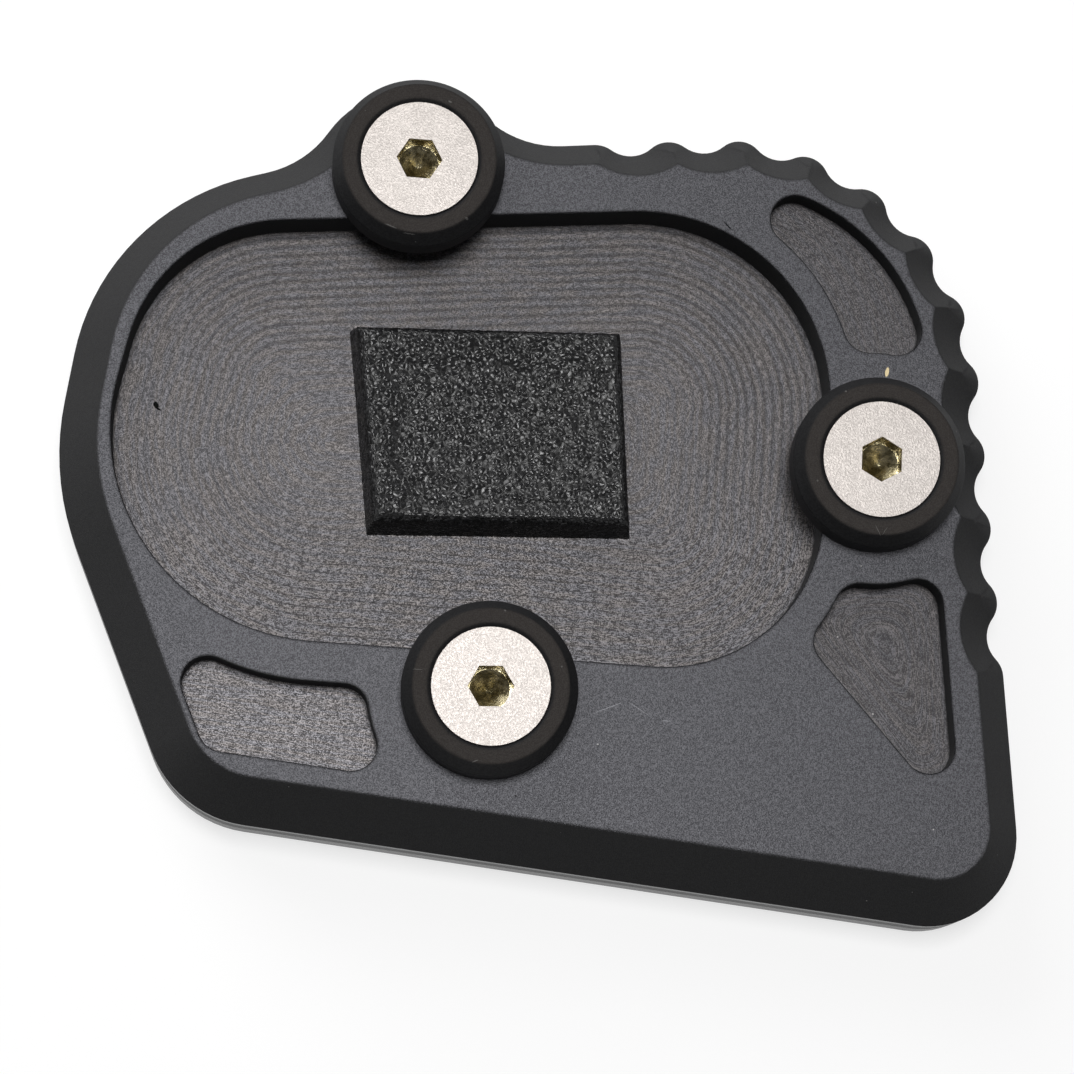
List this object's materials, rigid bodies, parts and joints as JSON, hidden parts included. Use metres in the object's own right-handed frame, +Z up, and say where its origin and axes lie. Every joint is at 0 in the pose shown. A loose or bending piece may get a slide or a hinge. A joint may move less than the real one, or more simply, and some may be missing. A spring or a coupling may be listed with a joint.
{
  "type": "kickstand foot enlarger",
  "caption": "Flat kickstand foot plate with a tapered, partly scalloped edge, a rounded pocket for the stand's foot and screw-held clamp collars round it.",
  "frame": {"origin": "under the middle of the plate's box, on the face that meets the ground", "axes": "+X along the longest side towards the scalloped right edge, +Y towards the lobe, +Z up out of the pocket"},
  "size_m": [0.0968, 0.0914, 0.0185],
  "materials": {
    "plate": "bead-blasted, black anodised",
    "collar": "turned, black anodised",
    "screw": "satin stainless",
    "pad": "closed-cell foam"
  },
  "bodies": {
    "root": {"base_plate": "plate", "clamp_collar_top": "collar", "clamp_collar_right": "collar", "clamp_collar_front": "collar", "clamp_screw_top": "screw", "clamp_screw_right": "screw", "clamp_screw_front": "screw", "foam_pad": "pad"}
  },
  "joints": []
}
